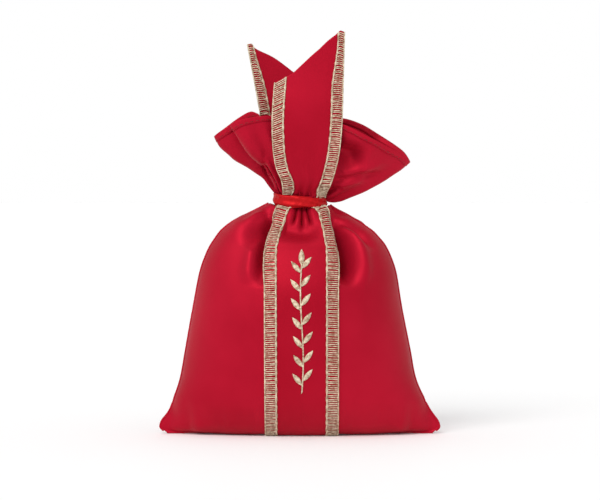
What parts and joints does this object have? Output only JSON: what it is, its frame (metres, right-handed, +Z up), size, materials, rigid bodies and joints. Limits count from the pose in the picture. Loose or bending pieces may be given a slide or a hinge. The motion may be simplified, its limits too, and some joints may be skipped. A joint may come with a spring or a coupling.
{
  "type": "fabric gift sack",
  "caption": "Filled red satin gift sack with a gathered, ribbon-tied neck, an open frill, and a long edged band whose two slanted free tails stand above the tie.",
  "frame": {"origin": "middle of the base, on the surface that the sack stands on", "axes": "+Z up through the tied neck; -Y towards the front, the face with the embroidered sprig; +X towards the viewer's right, along the width"},
  "size_m": [0.1, 0.05, 0.1436],
  "materials": {
    "satin": "red satin with a soft sheen",
    "ribbon": "bright orange-red satin ribbon",
    "edging": "beige metallic overlock thread",
    "embroidery": "beige-gold satin-stitch thread",
    "wadding": "soft off-white wadding",
    "seam": "turned-in satin seam allowance"
  },
  "bodies": {
    "sack": {"filling": "wadding", "front_panel": "satin", "back_panel": "satin", "side_seam_left": "seam", "side_seam_right": "seam", "bottom_seam": "seam", "neck_gather": "satin", "tie_ribbon": "ribbon", "tie_knot": "ribbon", "band_front": "satin", "band_base": "satin", "band_back": "satin", "band_front_edging_left": "edging", "band_front_edging_right": "edging", "band_back_edging_left": "edging", "band_back_edging_right": "edging", "embroidered_sprig": "embroidery"},
    "front_tail": {"front_tail": "satin", "front_tail_edging_left": "edging", "front_tail_edging_right": "edging"},
    "back_tail": {"back_tail": "satin", "back_tail_edging_left": "edging", "back_tail_edging_right": "edging"},
    "frill_left": {"frill_front_left": "satin", "frill_back_left": "satin", "hem_front_left": "satin", "hem_back_left": "satin"},
    "frill_right": {"frill_front_right": "satin", "frill_back_right": "satin", "hem_front_right": "satin", "hem_back_right": "satin"},
    "tie_end_left": {"tie_end_left": "ribbon"},
    "tie_end_right": {"tie_end_right": "ribbon"}
  },
  "joints": [
    {"name": "front_tail_bend", "type": "hinge", "parent": "sack", "child": "front_tail", "pos_m": [0, -0.0088, 0.0865], "axis": [1, 0, 0], "range_deg": [0, 85], "stiffness_Nm_per_rad": 0.002},
    {"name": "back_tail_bend", "type": "hinge", "parent": "sack", "child": "back_tail", "pos_m": [0, 0.0088, 0.0865], "axis": [-1, 0, 0], "range_deg": [0, 85], "stiffness_Nm_per_rad": 0.002},
    {"name": "frill_left_bend", "type": "hinge", "parent": "sack", "child": "frill_left", "pos_m": [0, 0, 0.088], "axis": [0, -1, 0], "range_deg": [-10, 15], "stiffness_Nm_per_rad": 0.003},
    {"name": "frill_right_bend", "type": "hinge", "parent": "sack", "child": "frill_right", "pos_m": [0, 0, 0.088], "axis": [0, 1, 0], "range_deg": [-10, 15], "stiffness_Nm_per_rad": 0.003},
    {"name": "tie_end_left_swing", "type": "hinge", "parent": "sack", "child": "tie_end_left", "pos_m": [-0.0016, 0.0129, 0.083], "axis": [1, 0, 0], "range_deg": [0, 45]},
    {"name": "tie_end_right_swing", "type": "hinge", "parent": "sack", "child": "tie_end_right", "pos_m": [0.0016, 0.0129, 0.083], "axis": [1, 0, 0], "range_deg": [0, 45]}
  ]
}
